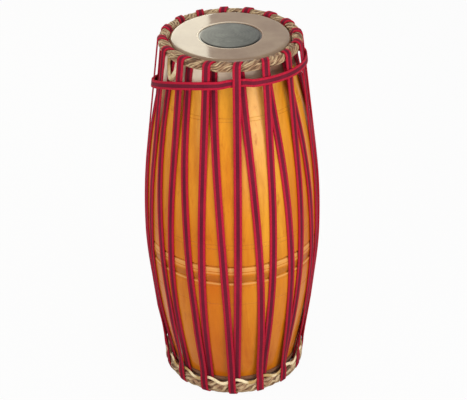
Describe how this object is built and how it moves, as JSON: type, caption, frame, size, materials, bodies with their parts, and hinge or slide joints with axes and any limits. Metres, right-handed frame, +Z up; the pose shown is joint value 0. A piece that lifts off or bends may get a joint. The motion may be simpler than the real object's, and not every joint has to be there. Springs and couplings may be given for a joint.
{
  "type": "mridangam",
  "caption": "Wooden barrel drum with a skin head at each end, plaited hoops, striped webbing lacing, a slanting girdle strap and a grey tuning patch on the treble head.",
  "frame": {"origin": "on the drum's axis, in the plane under the lacing's lower loops, on which the drum stands", "axes": "+Z up along the drum's axis from the bass head to the treble head, -Y towards the front of the picture, +X to its right"},
  "size_m": [0.275, 0.2751, 0.5823],
  "materials": {
    "wood": "glossy amber varnish over jackwood",
    "skin": "smooth stretched hide, slightly glossy",
    "patch": "polished hardened paste",
    "plait": "matte plaited rawhide",
    "webbing": "woven webbing, crimson with a dark purple stripe",
    "rawhide": "pale rawhide"
  },
  "bodies": {
    "drum": {"shell": "wood", "right_inner_skin": "skin", "right_main_skin": "skin", "right_outer_skin": "skin", "tuning_patch": "patch", "left_main_skin": "skin", "left_outer_skin": "skin", "lacing_01": "webbing", "lacing_02": "webbing", "lacing_03": "webbing", "lacing_04": "webbing", "lacing_05": "webbing", "lacing_06": "webbing", "lacing_07": "webbing", "lacing_08": "webbing", "lacing_09": "webbing", "lacing_10": "webbing", "lacing_11": "webbing", "lacing_12": "webbing", "lacing_13": "webbing", "lacing_14": "webbing", "lacing_15": "webbing", "lacing_16": "webbing", "girdle": "webbing"},
    "right_hoop": {"right_hoop": "plait", "right_thong": "rawhide"},
    "left_hoop": {"left_hoop": "plait", "left_thong": "rawhide"}
  },
  "joints": [
    {"name": "right_hoop_tuning", "type": "slide", "parent": "drum", "child": "right_hoop", "axis": [0, 0, -1], "range_m": [0, 0.002]},
    {"name": "left_hoop_tuning", "type": "slide", "parent": "drum", "child": "left_hoop", "axis": [0, 0, 1], "range_m": [0, 0.002]}
  ]
}
